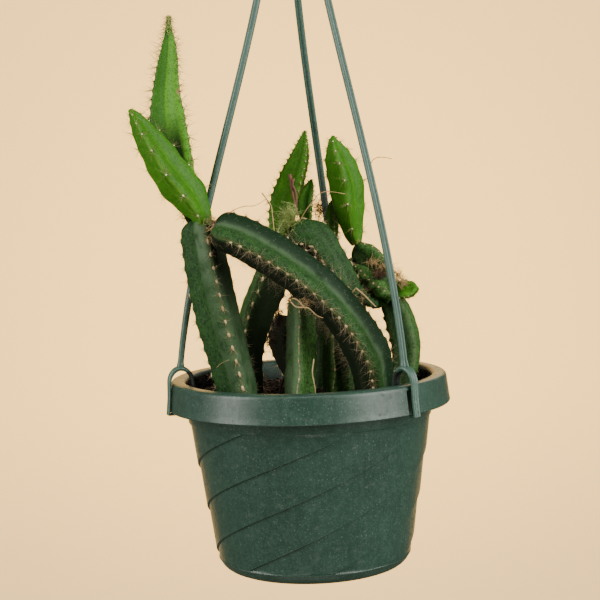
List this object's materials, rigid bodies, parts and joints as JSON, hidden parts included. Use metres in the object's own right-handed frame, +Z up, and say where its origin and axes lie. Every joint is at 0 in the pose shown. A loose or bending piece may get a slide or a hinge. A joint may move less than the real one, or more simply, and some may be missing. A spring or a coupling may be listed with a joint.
{
  "type": "dog tail cactus in a hanging pot",
  "caption": "Ribbed trailing cactus with old dark and young bright stems, rooted in peat in a green plastic hanging pot with a hook and clip-on rods.",
  "frame": {"origin": "underside of the hook's crown, on the pot's axis, where the rail or ceiling hook carries it", "axes": "+Z up along the pot's axis, -Y towards the viewer of the picture, +X to the viewer's right"},
  "size_m": [0.1653, 0.15, 0.4394],
  "materials": {
    "pot": "satin",
    "hanger": "satin",
    "peat": "loose fibre, matt",
    "old_stem": "waxy skin with woolly areoles",
    "young_stem": "fresh waxy skin with pale spines"
  },
  "bodies": {
    "root": {"pot": "pot", "soil": "peat", "hanger_hook": "hanger", "hanger_rod_left": "hanger", "hanger_rod_right": "hanger", "hanger_rod_rear": "hanger", "old_stem_left": "old_stem", "old_stem_arching": "old_stem", "old_stem_rear_arch": "old_stem", "old_stem_right": "old_stem", "old_stem_back_left": "old_stem", "old_stem_shaded": "old_stem", "old_stem_front": "old_stem", "old_stem_middle": "old_stem", "old_stem_pale": "old_stem", "old_stem_knobbly": "old_stem", "old_stem_stub": "old_stem", "young_stem_left_front": "young_stem", "young_stem_left_rear": "young_stem", "young_stem_centre": "young_stem", "young_stem_centre_small": "young_stem", "young_stem_right": "young_stem", "young_stem_right_small": "young_stem", "young_stem_tip": "young_stem"}
  },
  "joints": []
}
